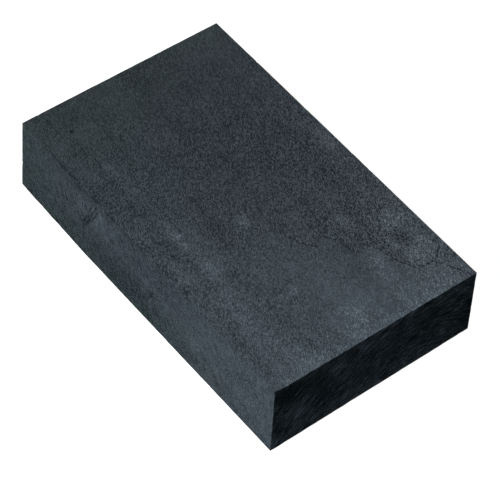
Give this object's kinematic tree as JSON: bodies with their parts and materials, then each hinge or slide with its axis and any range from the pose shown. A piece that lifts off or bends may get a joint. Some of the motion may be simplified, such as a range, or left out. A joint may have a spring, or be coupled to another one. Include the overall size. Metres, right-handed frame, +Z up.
{
  "type": "charcoal block",
  "caption": "Flat rectangular block of solid charcoal for drawing or heat-resistant bench work, with rubbed edges and one chipped corner.",
  "frame": {"origin": "middle of the broad face that the block lies on", "axes": "+X along the length towards the end with the chipped top corner, +Y across the width, +Z up through the thickness"},
  "size_m": [0.1, 0.06, 0.022],
  "materials": {
    "charcoal": "dull, fine-grained mineral surface with a faint blue-grey sheen"
  },
  "bodies": {
    "root": {"charcoal_block": "charcoal"}
  },
  "joints": []
}
